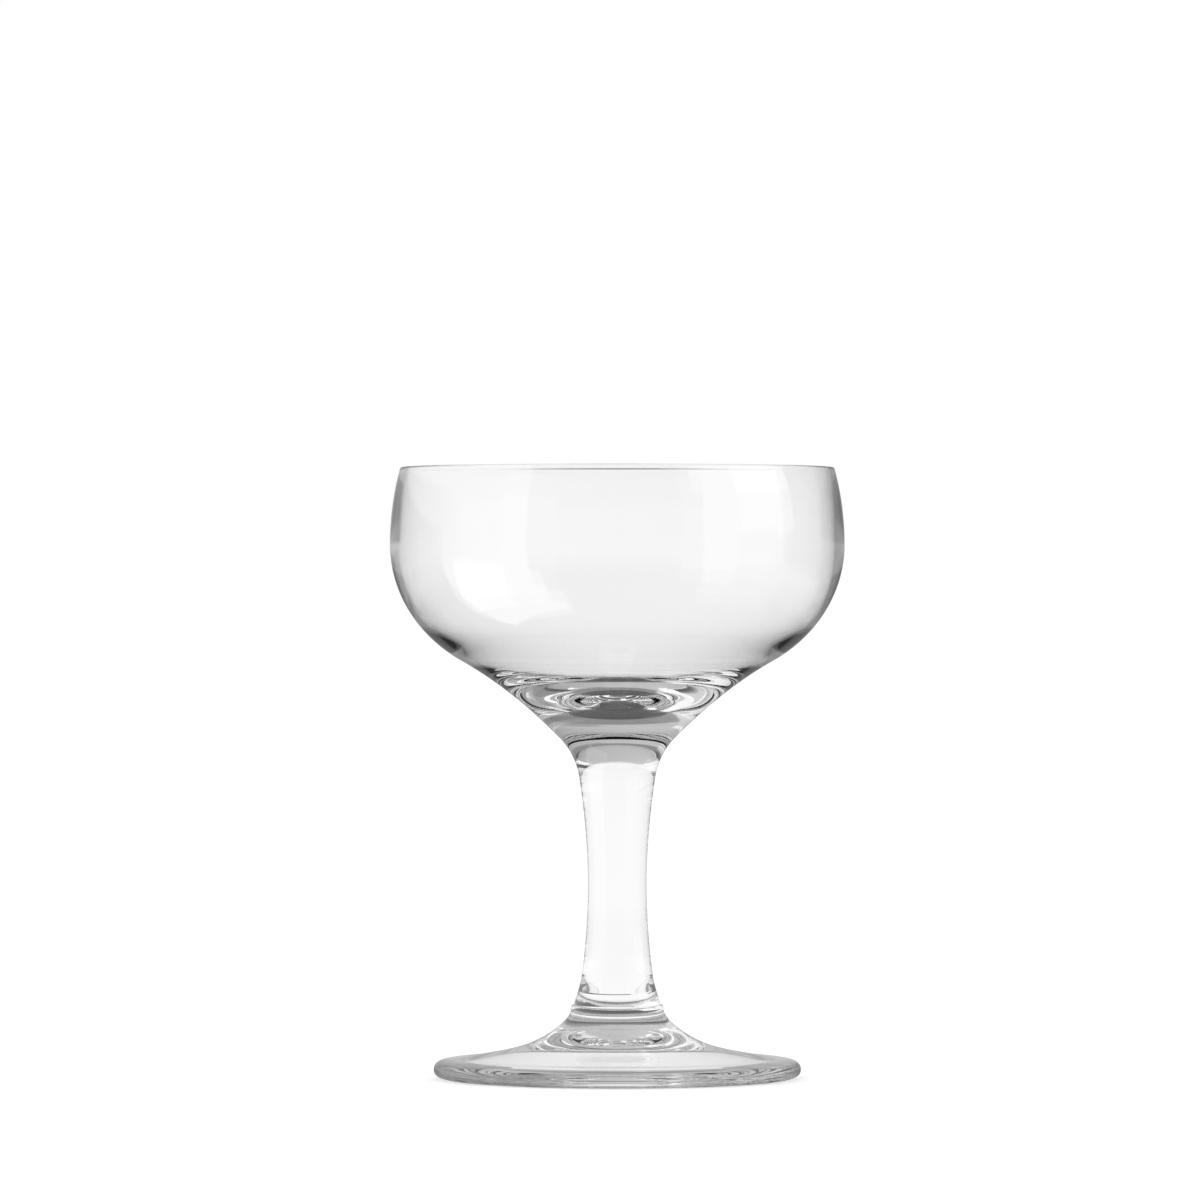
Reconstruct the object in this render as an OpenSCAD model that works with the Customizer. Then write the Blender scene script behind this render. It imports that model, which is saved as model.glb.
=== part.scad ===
// Coupe glass: a blown bowl, a solid waisted stem and a pressed foot, joined hot in clear glass.
// The origin is the middle of the plane it stands on, and +Z points up along its axis.
// Lengths are in millimetres. A lean is in degrees from straight up, and is positive outwards.

/* [Bowl] */
// Height of the bowl, from its seam on the stem to the rim
bowl_h = 61.6; // [58:0.1:66]
// Diameter of the bowl at its widest
bowl_d = 94.7; // [92:0.1:100]
// Height from the widest ring up to the rim
belly_drop = 16.2; // [12:0.1:20]
// How far the rim is drawn in from the widest ring, on each side
rim_in = 2.05; // [1:0.05:4]
// Lean of the wall at the rim
rim_lean = -15.5; // [-22:0.5:-8]
// Thickness of the wall at the rim
rim_wall = 1.05; // [0.8:0.05:1.4]
// Thickness of the wall at the widest ring
belly_wall = 2; // [1.5:0.05:2.4]
// Height above the seam of the shoulder, the ring where the outside turns from round to hollow
shoulder_rise = 21.3; // [19:0.1:23]
// How far the shoulder lies in from the widest ring, on each side
shoulder_in = 14.85; // [13:0.05:17]
// Lean of the outside at the shoulder
shoulder_lean = 60.5; // [55:0.5:64]
// Thickness of the wall at the shoulder
shoulder_wall = 1.35; // [1.2:0.05:1.8]
// Lean of the inside at the shoulder
shoulder_inner_lean = 57.7; // [54:0.1:62]
// How far the flank, a ring on the inside of the wall, lies out from the shoulder
flank_out = 6.5; // [6:0.1:7]
// Height of the flank above the shoulder
flank_rise = 6.5; // [6:0.1:7]
// Lean of the inside at the flank
flank_lean = 45.4; // [43:0.1:48]
// How far the edge of the hollow's floor lies in from the shoulder
floor_in = 10.5; // [9.5:0.1:12]
// Depth of that edge below the shoulder
floor_drop = 4.1; // [3.4:0.1:4.6]
// Further fall of the floor from its edge to the axis
floor_fall = 4.4; // [3:0.1:5.5]
// Height of the throat, the solid below the bowl, above the seam
throat_rise = 5.2; // [4:0.1:7]
// How far the throat stands out beyond the seam, on each side
throat_out = 3.3; // [2.5:0.1:5]
// Lean of the throat
throat_lean = 44.5; // [38:0.5:50]

/* [Stem] */
// Length of the stem, from the collar of the foot to the bowl
stem_h = 50.4; // [40:0.1:70]
// Diameter of the seam between the stem and the bowl
neck_d = 17.4; // [16:0.1:19]
// Lean at that seam
neck_lean = 20.5; // [14:0.5:28]
// Length of the flare at the top of the stem
head_h = 3.4; // [2.5:0.1:5]
// Diameter where that flare starts
head_d = 15.7; // [14.5:0.1:16.5]
// Lean where that flare starts
head_lean = 8.5; // [5:0.5:12]
// Diameter of the stem at its waist
waist_d = 12.2; // [10:0.1:14]
// Height of the waist above the collar
waist_rise = 25.1; // [18:0.1:30]
// Length of the flare at the bottom of the stem
heel_h = 5.9; // [4:0.1:8]
// Diameter where that flare starts
heel_d = 14.9; // [13.5:0.1:16]
// Lean where that flare starts
heel_lean = -8; // [-12:0.5:-5]
// Diameter of the bottom end of the stem
stem_foot_d = 18.1; // [16.5:0.1:18.8]
// Lean at the bottom end of the stem
stem_foot_lean = -13.5; // [-18:0.5:-9]

/* [Foot] */
// Height of the foot, from the table to the top of its collar
foot_h = 15.4; // [14:0.1:18]
// Diameter of the foot
foot_d = 76.5; // [70:0.1:84]
// How far the collar stands out beyond the end of the stem, on each side
collar_step = 0.45; // [0.2:0.05:1]
// Height of the collar
collar_h = 1.4; // [1:0.1:2]
// Swell of the collar from its top to its bottom, on each side
collar_swell = 0.25; // [0.1:0.05:0.5]
// How far the instep, where the foot flares fastest, lies out from the collar
instep_out = 2.5; // [2:0.1:4]
// Height of the instep
instep_h = 11.2; // [10:0.1:12]
// How far the arch lies out from the instep
arch_out = 8; // [6:0.1:10]
// Height of the arch
arch_h = 6.85; // [6.5:0.05:8]
// How far in from the edge the top of the foot starts to turn over
brim_in = 7.05; // [5:0.05:9]
// Height of the foot there
brim_h = 4.45; // [4:0.05:5]
// Height of the widest ring of the foot
edge_h = 2; // [1.5:0.05:2.5]
// How far in from the edge the ring that the glass stands on starts
ring_in = 3.85; // [3:0.05:5]
// Width of that ring
ring_w = 2; // [1:0.1:3]
// Height of the domed hollow under the foot
sole_h = 7.7; // [6.5:0.1:8.3]
// Slope of that hollow at the ring, in degrees
sole_slope = 17; // [14:1:22]

/* [Finish] */
// Number of straight steps in each curve of an outline
curve_steps = 24; // [12:1:40]
// Number of facets round the axis in a preview
facets = 180; // [60:12:360]

/* [Hidden] */

clear_glass = [0.86, 0.91, 0.93, 0.45];

stem_base = foot_h;
bowl_base = stem_base + stem_h;
glass_h = bowl_base + bowl_h;

lip_r = rim_wall / 2;
lip_centre = [bowl_d / 2 - rim_in - lip_r, glass_h - lip_r];
lip_half_turn = 180;
belly_z = glass_h - belly_drop;

collar_top_lean = -5;
collar_bottom_lean = -20;
instep_lean = -48.5;
arch_lean = -72.5;
brim_lean = -78;

// A step of one along the direction that leans so far from straight up
function heading(lean) = [sin(lean), cos(lean)];

// A curve from p to q that leaves and arrives with the given leans, and is an arc where an arc fits
function bend(p, p_lean, q, q_lean) =
    let (
        turn = abs(q_lean - p_lean),
        reach = norm(q - p) / (3 * pow(cos(turn / 4), 2)),
        p_pull = p + reach * heading(p_lean),
        q_pull = q - reach * heading(q_lean)
    )
    [for (i = [0 : curve_steps])
        let (t = i / curve_steps)
        pow(1 - t, 3) * p + 3 * t * pow(1 - t, 2) * p_pull + 3 * pow(t, 2) * (1 - t) * q_pull + pow(t, 3) * q];

// The same curve without its first point, to follow on from another
function onward(p, p_lean, q, q_lean) =
    let (points = bend(p, p_lean, q, q_lean))
    [for (i = [1 : curve_steps]) points[i]];

module turned(outline) {
    color(clear_glass)
        rotate_extrude($fn = facets)
            polygon(outline);
}

module bowl() {
    seam = [neck_d / 2, bowl_base];
    throat = [neck_d / 2 + throat_out, bowl_base + throat_rise];
    shoulder = [bowl_d / 2 - shoulder_in, bowl_base + shoulder_rise];
    belly = [bowl_d / 2, belly_z];
    lip_outside = lip_centre + lip_r * heading(rim_lean + 90);
    lip_inside = lip_centre - lip_r * heading(rim_lean + 90);
    inner_belly = [bowl_d / 2 - belly_wall, belly_z];
    flank = shoulder + [flank_out, flank_rise];
    inner_shoulder = shoulder + shoulder_wall * heading(shoulder_lean - 90);
    floor_edge = shoulder - [floor_in, floor_drop];
    floor_middle = [0, floor_edge[1] - floor_fall];
    floor_slope = 2 * atan(floor_fall / floor_edge[0]);
    lip_over = [for (i = [1 : curve_steps - 1])
        lip_centre + lip_r * heading(rim_lean + 90 - lip_half_turn * i / curve_steps)];
    turned(concat(
        [[0, bowl_base]],
        bend(seam, neck_lean, throat, throat_lean),
        onward(throat, throat_lean, shoulder, shoulder_lean),
        onward(shoulder, shoulder_lean, belly, 0),
        onward(belly, 0, lip_outside, rim_lean),
        lip_over,
        bend(lip_inside, 180 + rim_lean, inner_belly, 180),
        onward(inner_belly, 180, flank, 180 + flank_lean),
        onward(flank, 180 + flank_lean, inner_shoulder, 180 + shoulder_inner_lean),
        onward(inner_shoulder, 180 + shoulder_inner_lean, floor_edge, 270 - floor_slope),
        onward(floor_edge, 270 - floor_slope, floor_middle, 270)
    ));
}

module stem() {
    bottom = [stem_foot_d / 2, stem_base];
    heel = [heel_d / 2, stem_base + heel_h];
    waist = [waist_d / 2, stem_base + waist_rise];
    head = [head_d / 2, bowl_base - head_h];
    top = [neck_d / 2, bowl_base];
    turned(concat(
        [[0, stem_base]],
        bend(bottom, stem_foot_lean, heel, heel_lean),
        onward(heel, heel_lean, waist, 0),
        onward(waist, 0, head, head_lean),
        onward(head, head_lean, top, neck_lean),
        [[0, bowl_base]]
    ));
}

module foot() {
    sole_middle = [0, sole_h];
    edge = [foot_d / 2, edge_h];
    ring_outside = [edge[0] - ring_in, 0];
    ring_inside = ring_outside - [ring_w, 0];
    brim = [edge[0] - brim_in, brim_h];
    collar_top = [stem_foot_d / 2 + collar_step, foot_h];
    collar_bottom = collar_top + [collar_swell, -collar_h];
    instep = [collar_top[0] + instep_out, instep_h];
    arch = [instep[0] + arch_out, arch_h];
    turned(concat(
        bend(sole_middle, 90, ring_inside, 90 + sole_slope),
        bend(ring_outside, 90, edge, 0),
        onward(edge, 0, brim, brim_lean),
        onward(brim, brim_lean, arch, arch_lean),
        onward(arch, arch_lean, instep, instep_lean),
        onward(instep, instep_lean, collar_bottom, collar_bottom_lean),
        onward(collar_bottom, collar_bottom_lean, collar_top, collar_top_lean),
        [[0, foot_h]]
    ));
}

bowl();
stem();
foot();
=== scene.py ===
import math

import bmesh
import bpy
import numpy as np
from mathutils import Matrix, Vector


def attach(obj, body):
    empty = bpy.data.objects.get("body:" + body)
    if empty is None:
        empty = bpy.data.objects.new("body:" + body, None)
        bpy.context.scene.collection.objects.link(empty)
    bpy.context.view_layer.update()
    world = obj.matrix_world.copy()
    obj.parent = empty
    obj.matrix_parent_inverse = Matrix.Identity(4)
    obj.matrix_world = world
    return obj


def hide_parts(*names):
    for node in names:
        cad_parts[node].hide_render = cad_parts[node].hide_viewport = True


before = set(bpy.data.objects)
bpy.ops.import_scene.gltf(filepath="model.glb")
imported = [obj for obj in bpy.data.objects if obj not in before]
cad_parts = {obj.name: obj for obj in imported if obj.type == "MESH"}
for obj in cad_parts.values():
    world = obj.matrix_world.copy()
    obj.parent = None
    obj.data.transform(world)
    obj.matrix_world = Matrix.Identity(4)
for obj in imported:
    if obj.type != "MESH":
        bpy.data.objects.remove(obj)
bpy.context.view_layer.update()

# Lengths are in metres and angles in degrees, unless a name says otherwise.
MM = 0.001

# The three pieces: the node that each one stands for, and its material slot
PIECES = {"bowl": "bowl_glass", "stem": "stem_glass", "foot": "foot_glass"}
BODY = "root"

# Meshes: how many steps go round the axis, how near each other the vertices of one ring lie, how
# near the axis a point counts as on it, and which material of a piece its seams have
ROUND_STEPS = 256
RING_MERGE = 0.012 * MM
AXIS_REACH = 0.01 * MM
SEAM_INDEX = 1
# An outline has a corner where it turns by more than this, and each corner gets a small arc
CORNER_TURN = 12
CORNER_RADIUS = 0.15 * MM
CORNER_STEPS = 5
# The longest step and the widest turn between two points of a smooth curve, and the short step
# that the curve starts and ends with
LONGEST_STEP = 1.1 * MM
WIDEST_TURN = 2.6
END_STEP = 0.03 * MM

# Glass: its index, and its two tints, which change over in streaks
IOR = 1.52
TINT = (0.996, 0.996, 0.996, 1.0)
TINT_THICK = (0.988, 0.988, 0.988, 1.0)
STREAK_SIZE = 25 * MM
STREAK_DETAIL = 3.0
STREAK_ROUGHNESS = 0.55
# Ripples: how long and how high they are on each piece
RIPPLES = {
    "bowl": (9 * MM, 0.002 * MM),
    "stem": (6 * MM, 0.002 * MM),
    "foot": (5 * MM, 0.004 * MM),
}
RIPPLE_DETAIL = 1.0
RIPPLE_ROUGHNESS = 0.4
# The pressed piece: its ripples grow by a factor from one radius to the other, and it is ground
# up to a small height
PRESSED = "foot"
EDGE_START = 30 * MM
EDGE_END = 35 * MM
EDGE_WAVES = 10
GROUND_HEIGHT = 0.12 * MM
GROUND_ROUGHNESS = 0.32
GRAIN_SIZE = 0.25 * MM

# The camera looks level, from just above the middle of the bowl's height
CAMERA_PLACE = (-3.6 * MM, -1.706, 99.73 * MM)
CAMERA_TILT = 90
CAMERA_LENS_MM = 245.66
CAMERA_SENSOR_MM = 36
CAMERA_REACH = 100

# The floor, just below the plane that the glass stands on. Its lift is light that only the camera
# sees, and takes it to white.
FLOOR_RADIUS = 12.0
FLOOR_SEGMENTS = 96
FLOOR_DROP = 0.02 * MM
FLOOR_COLOUR = (0.86, 0.86, 0.86, 1.0)
FLOOR_LIFT = 0.36
LIFT_COLOUR = (1.0, 1.0, 1.0, 1.0)

# The studio. An azimuth of 0 is straight behind the glass and 90 is to its right.
HALF_TURN = 180
# The softboxes: azimuth, bottom, top, width, distance from the axis of the glass, and level
SOFTBOXES = {
    "softbox_left": (-120, 0.02, 0.45, 0.24, 0.45, 1.8),
    "softbox_right": (120, 0.12, 0.75, 0.50, 0.95, 1.8),
}
# The world's level for matt surfaces, and its level beside the glass and for light that only
# passes through it
PLAIN_LEVEL = 0.8
BACKDROP_WHITE = 1.0
# A path that was reflected at least once has a greater glossy depth than this
NOT_REFLECTED = 0.5
# What reflections show. Levels of the floor and the walls, and where one turns into the other:
FLOOR_GREY = 0.1
WALL_GREY = 0.55
WALL_FOOT = -14
WALL_FADE = 8
# The sky: its level, how much lighter it is to the left, and its lower edge, which is low in
# front and rises behind the glass
SKY_GREY = 0.55
SKY_SLANT = -0.10
SKY_EDGE = 1.5
SKY_RISE = 8
SKY_TURN = 0.1
SKY_FADE = 1
# Panels: middle, half width, bottom and top in degrees, width of the soft edge, and level. The
# low ones hang on the walls, the sky's above its edge, and the high ones in front of both.
LOW_PANELS = (
    (46, 34, -14, 24, 9, 0.36),
    (22, 58, -18, -2, 2, 0.27),
    (-56, 22, -7, 16, 4, 0.70),
    (170, 42, -8, 12, 8, 0.62),
)
SKY_PANELS = (
    (-60, 28, -20, 22, 4, 1.15),
    (98, 19, -20, 36, 1, 1.3),
)
HIGH_PANELS = (
    (105, 12, -13, 3, 3, 0.6),
    (131, 15, -20, 35, 2, 0.75),
    (-105, 27, -57, 35, 1, 1.1),
    (-122, 15, -54, -24, 2, 1.1),
    (-130, 15, -57, -43, 2, 1.1),
)

# Bounces, enough for light that is caught in the thick glass
MOST_BOUNCES = 24
GLOSSY_BOUNCES = 16
TRANSMISSION_BOUNCES = 24
TRANSPARENT_BOUNCES = 32

# The sockets of a Mix node for its factor, for the two colours it mixes and for the colour it makes
MIX_FACTOR = 0
MIX_COLOURS = (6, 7)
MIX_COLOUR = 2


def points_in_rings(node):
    """Each ring of the node's mesh as (radius, height), and which rings the mesh joins."""
    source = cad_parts[node]
    world = source.matrix_world
    places = [world @ v.co for v in source.data.vertices]
    flat = np.array([(math.hypot(p.x, p.y), p.z) for p in places])
    order = np.lexsort((flat[:, 1], flat[:, 0]))
    ring_of = np.full(len(flat), -1)
    rings = []
    cells = {}
    for i in order:
        r, z = flat[i]
        cell = (int(r / RING_MERGE), int(z / RING_MERGE))
        found = None
        for dr in (-1, 0, 1):
            for dz in (-1, 0, 1):
                for k in cells.get((cell[0] + dr, cell[1] + dz), ()):
                    if math.hypot(rings[k][0] - r, rings[k][1] - z) < RING_MERGE:
                        found = k
        if found is None:
            found = len(rings)
            rings.append((r, z))
            cells.setdefault(cell, []).append(found)
        ring_of[i] = found
    joined = {k: set() for k in range(len(rings))}
    for edge in source.data.edges:
        a, b = (int(ring_of[v]) for v in edge.vertices)
        if a != b:
            joined[a].add(b)
            joined[b].add(a)
    return np.array(rings), joined


def outline(node):
    """The node's outline as (radius, height) in order, from the axis or else its lowest ring."""
    rings, joined = points_in_rings(node)
    start = min(range(len(rings)), key=lambda k: (rings[k][0] > AXIS_REACH, rings[k][1]))
    chain = [start]
    left = set(range(len(rings))) - {start}
    while left:
        here = rings[chain[-1]]
        near = [k for k in joined[chain[-1]] if k in left]
        if not near:
            break
        following = min(near, key=lambda k: np.hypot(*(rings[k] - here)))
        chain.append(following)
        left.discard(following)
    return rings[chain]


def stretches(line):
    """The outline cut at its corners."""
    step = np.diff(line, axis=0)
    chord = np.degrees(np.unwrap(np.arctan2(step[:, 1], step[:, 0])))
    corners = [i + 1 for i, turn in enumerate(np.diff(chord)) if abs(turn) > CORNER_TURN]
    ends = [0, *corners, len(line) - 1]
    return [line[a:b + 1] for a, b in zip(ends, ends[1:])]


def headings(line):
    """The heading of the smooth curve at each point, in radians, and the length of each step."""
    step = np.diff(line, axis=0)
    length = np.hypot(*step.T)
    chord = np.unwrap(np.arctan2(step[:, 1], step[:, 0]))
    if len(chord) == 1:
        return np.repeat(chord, 2), length
    inner = (chord[:-1] * length[1:] + chord[1:] * length[:-1]) / (length[:-1] + length[1:])
    first = 2 * chord[0] - inner[0]
    last = 2 * chord[-1] - inner[-1]
    return np.concatenate([[first], inner, [last]]), length


def smooth(line):
    """The outline with as many points on its smooth curves as their bends need, all of them
    within the box of the outline itself."""
    made = [line[0]]
    for stretch in stretches(line):
        heading, length = headings(stretch)
        for i, (p, q) in enumerate(zip(stretch, stretch[1:])):
            turn = heading[i + 1] - heading[i]
            reach = length[i] / (3 * math.cos(turn / 4) ** 2)
            p_pull = p + reach * np.array([math.cos(heading[i]), math.sin(heading[i])])
            q_pull = q - reach * np.array([math.cos(heading[i + 1]), math.sin(heading[i + 1])])
            by_turn = abs(math.degrees(turn)) / WIDEST_TURN
            count = max(1, math.ceil(by_turn), math.ceil(length[i] / LONGEST_STEP))
            shares = [k / count for k in range(1, count + 1)]
            if i == 0:
                shares.insert(0, END_STEP / length[i])
            if i == len(stretch) - 2:
                shares.insert(-1, 1 - END_STEP / length[i])
            for t in shares:
                made.append((1 - t) ** 3 * p + 3 * t * (1 - t) ** 2 * p_pull
                            + 3 * t ** 2 * (1 - t) * q_pull + t ** 3 * q)
    return np.clip(made, line.min(axis=0), line.max(axis=0))


def with_round_corners(line):
    """The outline with each sharp corner replaced by a small arc."""
    made = [line[0]]
    for before, corner, after in zip(line, line[1:], line[2:]):
        a, b = before - corner, after - corner
        a_len, b_len = np.hypot(*a), np.hypot(*b)
        turn = math.pi - math.acos(np.clip(np.dot(a, b) / (a_len * b_len), -1, 1))
        if math.degrees(turn) < CORNER_TURN:
            made.append(corner)
            continue
        back = min(CORNER_RADIUS * math.tan(turn / 2), a_len / 2, b_len / 2)
        start, end = corner + a / a_len * back, corner + b / b_len * back
        for i in range(CORNER_STEPS + 1):
            t = i / CORNER_STEPS
            made.append((1 - t) ** 2 * start + 2 * t * (1 - t) * corner + t ** 2 * end)
    made.append(line[-1])
    return np.array(made)


def turned(name, line):
    """A closed mesh turned from the outline. Ends off the axis are closed by flat seams."""
    mesh = bmesh.new()
    angles = [2 * math.pi * k / ROUND_STEPS for k in range(ROUND_STEPS)]
    rings = []
    for r, z in line:
        if r < AXIS_REACH:
            rings.append([mesh.verts.new((0, 0, z))])
        else:
            rings.append([mesh.verts.new((r * math.cos(a), r * math.sin(a), z)) for a in angles])
    for low, high in zip(rings, rings[1:]):
        for k in range(ROUND_STEPS):
            here, there = k, (k + 1) % ROUND_STEPS
            corners = [low[here % len(low)], low[there % len(low)],
                       high[there % len(high)], high[here % len(high)]]
            face = mesh.faces.new(list(dict.fromkeys(corners)))
            face.smooth = True
    for ring in (rings[0], rings[-1]):
        if len(ring) > 1:
            middle = mesh.verts.new((0, 0, ring[0].co.z))
            for k in range(ROUND_STEPS):
                here, there = ring[k], ring[(k + 1) % ROUND_STEPS]
                face = mesh.faces.new((here, there, middle))
                face.material_index = SEAM_INDEX
                mesh.edges.get((here, there)).smooth = False
    bmesh.ops.recalc_face_normals(mesh, faces=mesh.faces)
    data = bpy.data.meshes.new(name)
    mesh.to_mesh(data)
    mesh.free()
    piece = bpy.data.objects.new(name, data)
    bpy.context.scene.collection.objects.link(piece)
    return piece


def node_tree(owner):
    """The empty node tree of a material or a world."""
    owner.use_nodes = True
    tree = owner.node_tree
    tree.nodes.clear()
    return tree


def add(tree, kind, sockets=None, **settings):
    """A node with its settings. Each socket, by name or number, gets a value or a link."""
    node = tree.nodes.new(kind)
    for key, setting in settings.items():
        setattr(node, key, setting)
    for key, source in (sockets or {}).items():
        if isinstance(source, bpy.types.NodeSocket):
            tree.links.new(source, node.inputs[key])
        else:
            node.inputs[key].default_value = source
    return node


def maths(tree, operation, *values):
    """The result of an operation on values or sockets."""
    node = add(tree, "ShaderNodeMath", dict(enumerate(values)), operation=operation)
    return node.outputs[0]


def glass(name, ripple_size, ripple_height, pressed):
    """Clear glass with faint ripples and streaks of tint. Pressed glass also has a ground ring
    to stand on and a wavy edge."""
    material = bpy.data.materials.new(name)
    tree = node_tree(material)
    place = add(tree, "ShaderNodeTexCoord").outputs["Object"]
    streaks = add(tree, "ShaderNodeTexNoise", {
        "Vector": place, "Scale": 1 / STREAK_SIZE,
        "Detail": STREAK_DETAIL, "Roughness": STREAK_ROUGHNESS})
    thin, thick = MIX_COLOURS
    tint = add(tree, "ShaderNodeMix", {
        MIX_FACTOR: streaks.outputs[0], thin: TINT, thick: TINT_THICK}, data_type="RGBA")
    ripples = add(tree, "ShaderNodeTexNoise", {
        "Vector": place, "Scale": 1 / ripple_size,
        "Detail": RIPPLE_DETAIL, "Roughness": RIPPLE_ROUGHNESS})
    height = ripples.outputs[0]
    if pressed:
        x, y, z = add(tree, "ShaderNodeSeparateXYZ", {0: place}).outputs
        radius = maths(tree, "SQRT", maths(tree, "ADD", maths(tree, "MULTIPLY", x, x),
                                           maths(tree, "MULTIPLY", y, y)))
        at_edge = add(tree, "ShaderNodeMapRange", {
            "Value": radius, "From Min": EDGE_START, "From Max": EDGE_END,
            "To Min": 1.0, "To Max": EDGE_WAVES}).outputs[0]
        height = maths(tree, "MULTIPLY", height, at_edge)
    bump = add(tree, "ShaderNodeBump", {
        "Height": height, "Strength": 1.0, "Distance": ripple_height})
    shader = add(tree, "ShaderNodeBsdfPrincipled", {
        "Base Color": tint.outputs[MIX_COLOUR], "Roughness": 0.0, "IOR": IOR,
        "Transmission Weight": 1.0, "Normal": bump.outputs[0]})
    if pressed:
        grains = add(tree, "ShaderNodeTexNoise", {"Vector": place, "Scale": 1 / GRAIN_SIZE})
        worn = maths(tree, "LESS_THAN", z, GROUND_HEIGHT)
        level = maths(tree, "MULTIPLY", grains.outputs[0], GROUND_ROUGHNESS)
        tree.links.new(maths(tree, "MULTIPLY", worn, level), shader.inputs["Roughness"])
    add(tree, "ShaderNodeOutputMaterial", {"Surface": shader.outputs[0]})
    return material


def seam_material():
    """The glass runs on through a hot joint, so its seam shows nothing."""
    material = bpy.data.materials.new("seam")
    tree = node_tree(material)
    clear = add(tree, "ShaderNodeBsdfTransparent")
    add(tree, "ShaderNodeOutputMaterial", {"Surface": clear.outputs[0]})
    return material


def make_pieces():
    """The three pieces of glass, each in place of its node."""
    lines = {node: outline(node) for node in PIECES}
    # The collar's top is bare glass from its edge to the end of the stem, and a seam within it.
    collar_end = np.array([lines["stem"][0][0], lines["foot"][-1][1]])
    lines["foot"] = np.vstack([lines["foot"], collar_end])
    materials = {node: glass(slot, *RIPPLES[node], pressed=node == PRESSED)
                 for node, slot in PIECES.items()}
    seam = seam_material()
    for node, slot in PIECES.items():
        piece = turned(node + "_clear", with_round_corners(smooth(lines[node])))
        piece.data.materials.append(materials[node])
        piece.data.materials.append(seam)
        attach(piece, BODY)
        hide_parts(node)


def make_world():
    """White behind the glass, a studio in its reflections, and plain light on all else."""
    world = bpy.data.worlds.new("studio")
    bpy.context.scene.world = world
    tree = node_tree(world)
    place = add(tree, "ShaderNodeTexCoord").outputs["Generated"]
    x, y, z = add(tree, "ShaderNodeSeparateXYZ", {0: place}).outputs
    bearing = maths(tree, "ARCTAN2", x, y)
    azimuth = maths(tree, "MULTIPLY", bearing, math.degrees(1))
    elevation = maths(tree, "MULTIPLY", maths(tree, "ARCSINE", z), math.degrees(1))

    def edge(value, low, high):
        return add(tree, "ShaderNodeMapRange", {
            "Value": value, "From Min": low, "From Max": high},
            interpolation_type="SMOOTHSTEP").outputs[0]

    def blend(share, low, high):
        return add(tree, "ShaderNodeMix", {"Factor": share, "A": low, "B": high}).outputs[0]

    def inside(distance, half_width, soft):
        return edge(maths(tree, "ABSOLUTE", distance), half_width + soft, half_width)

    def with_panels(shown, panels):
        for middle, half_width, bottom, top, soft, level in panels:
            across = maths(tree, "WRAP", maths(tree, "SUBTRACT", azimuth, middle),
                           HALF_TURN, -HALF_TURN)
            up = maths(tree, "SUBTRACT", elevation, (bottom + top) / 2)
            share = maths(tree, "MULTIPLY", inside(across, half_width, soft),
                          inside(up, (top - bottom) / 2, soft))
            shown = blend(share, shown, level)
        return shown

    walls = blend(edge(elevation, WALL_FOOT - WALL_FADE, WALL_FOOT + WALL_FADE),
                  FLOOR_GREY, WALL_GREY)
    walls = with_panels(walls, LOW_PANELS)
    sky = maths(tree, "MULTIPLY_ADD", x, SKY_SLANT, SKY_GREY)
    rise = maths(tree, "MAXIMUM", maths(tree, "ADD", maths(tree, "COSINE", bearing), SKY_TURN), 0)
    sky_edge = maths(tree, "MULTIPLY_ADD", rise, SKY_RISE, SKY_EDGE)
    above = maths(tree, "SUBTRACT", elevation, sky_edge)
    sky = with_panels(sky, SKY_PANELS)
    shown = with_panels(blend(edge(above, -SKY_FADE, SKY_FADE), walls, sky), HIGH_PANELS)

    path = add(tree, "ShaderNodeLightPath").outputs
    glassy = maths(tree, "MAXIMUM", path["Is Glossy Ray"], path["Is Transmission Ray"])
    reflected = maths(tree, "GREATER_THAN", path["Glossy Depth"], NOT_REFLECTED)
    through_glass = blend(reflected, BACKDROP_WHITE, shown)
    unseen = blend(glassy, PLAIN_LEVEL, through_glass)
    level = blend(path["Is Camera Ray"], unseen, BACKDROP_WHITE)
    light = add(tree, "ShaderNodeBackground", {"Color": level, "Strength": 1.0})
    add(tree, "ShaderNodeOutputWorld", {"Surface": light.outputs[0]})


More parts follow.
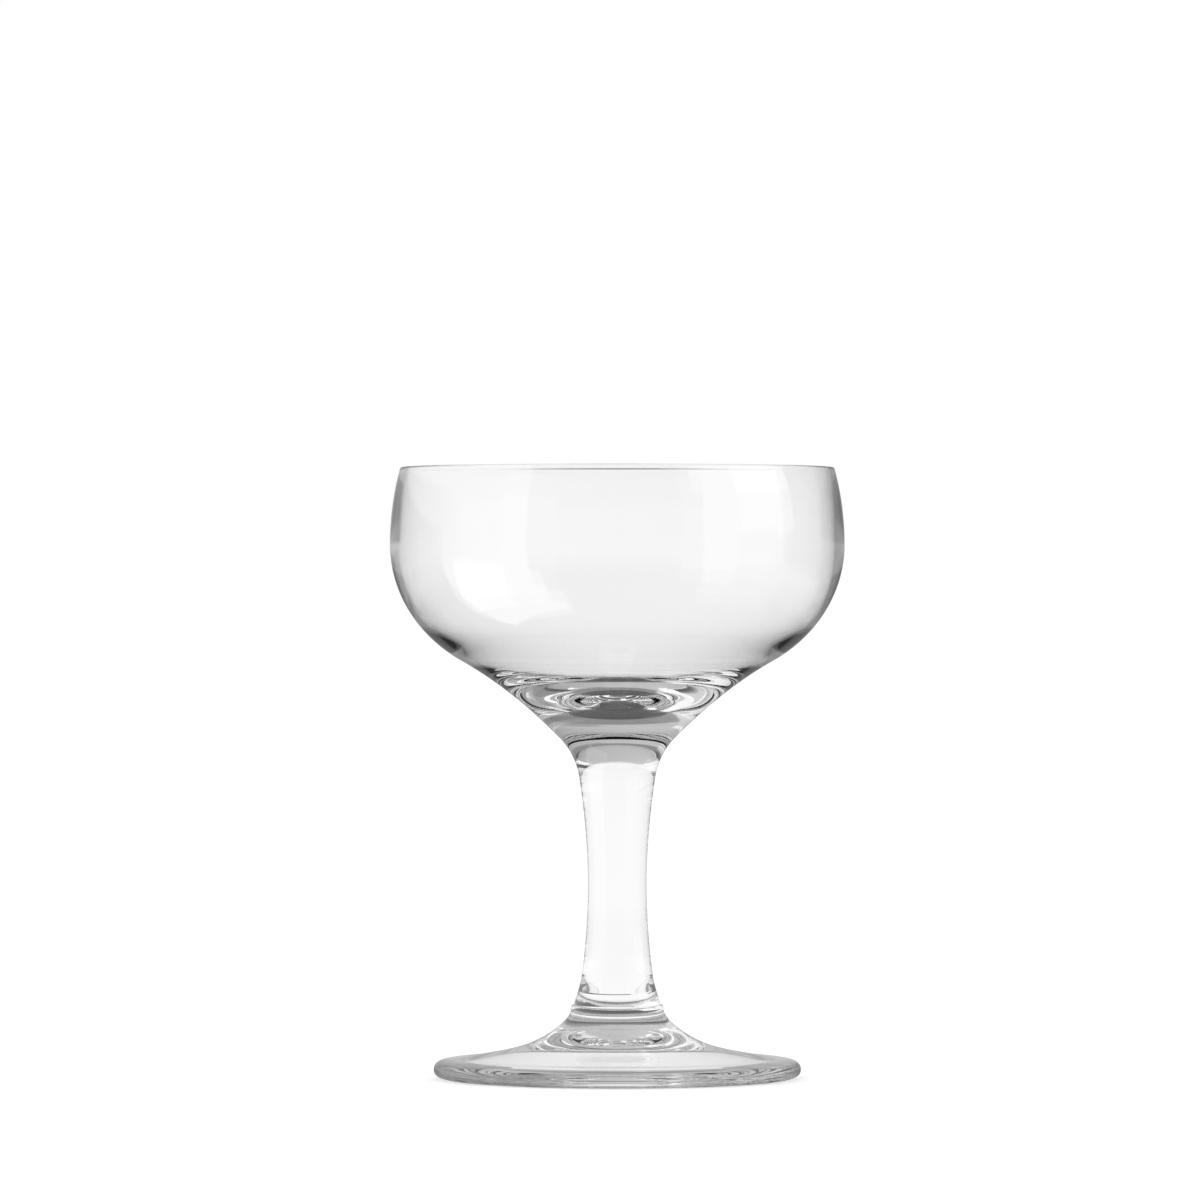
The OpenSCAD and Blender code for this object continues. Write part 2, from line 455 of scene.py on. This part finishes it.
def make_floor():
    """A pale matt floor, which the glass doesn't show."""
    mesh = bmesh.new()
    bmesh.ops.create_circle(mesh, cap_ends=True, segments=FLOOR_SEGMENTS, radius=FLOOR_RADIUS)
    data = bpy.data.meshes.new("floor")
    mesh.to_mesh(data)
    mesh.free()
    floor = bpy.data.objects.new("floor", data)
    floor.location.z = -FLOOR_DROP
    bpy.context.scene.collection.objects.link(floor)
    material = bpy.data.materials.new("floor")
    tree = node_tree(material)
    matt = add(tree, "ShaderNodeBsdfDiffuse", {"Color": FLOOR_COLOUR})
    camera = add(tree, "ShaderNodeLightPath").outputs["Is Camera Ray"]
    strength = maths(tree, "MULTIPLY", camera, FLOOR_LIFT)
    lift = add(tree, "ShaderNodeEmission", {"Color": LIFT_COLOUR, "Strength": strength})
    both = add(tree, "ShaderNodeAddShader", {0: matt.outputs[0], 1: lift.outputs[0]})
    add(tree, "ShaderNodeOutputMaterial", {"Surface": both.outputs[0]})
    data.materials.append(material)
    floor.visible_glossy = False
    floor.visible_transmission = False


def make_softbox(name, azimuth, low, high, width, distance, level):
    """A lamp that faces the glass and lights the floor, and that the glass doesn't show."""
    lamp = bpy.data.lights.new(name, "AREA")
    lamp.shape = "RECTANGLE"
    lamp.size = width
    lamp.size_y = high - low
    lamp.energy = level * math.pi * lamp.size * lamp.size_y
    box = bpy.data.objects.new(name, lamp)
    turn = math.radians(azimuth)
    box.location = (distance * math.sin(turn), distance * math.cos(turn), (low + high) / 2)
    aim = Vector((0, 0, box.location.z)) - box.location
    box.rotation_euler = aim.to_track_quat("-Z", "Y").to_euler()
    box.visible_camera = False
    box.visible_glossy = False
    box.visible_transmission = False
    bpy.context.scene.collection.objects.link(box)


def make_camera():
    """The camera, with the photograph's place and lens."""
    data = bpy.data.cameras.new("camera")
    data.sensor_width = CAMERA_SENSOR_MM
    data.lens = CAMERA_LENS_MM
    data.clip_end = CAMERA_REACH
    camera = bpy.data.objects.new("camera", data)
    camera.location = CAMERA_PLACE
    camera.rotation_euler = (math.radians(CAMERA_TILT), 0, 0)
    bpy.context.scene.collection.objects.link(camera)
    bpy.context.scene.camera = camera


def set_bounces():
    """The bounces that light may make in the glass."""
    cycles = bpy.context.scene.cycles
    cycles.max_bounces = MOST_BOUNCES
    cycles.glossy_bounces = GLOSSY_BOUNCES
    cycles.transmission_bounces = TRANSMISSION_BOUNCES
    cycles.transparent_max_bounces = TRANSPARENT_BOUNCES


bpy.context.scene.view_settings.view_transform = "Standard"
make_camera()
make_pieces()
make_world()
make_floor()
for softbox, measures in SOFTBOXES.items():
    make_softbox(softbox, *measures)
set_bounces()
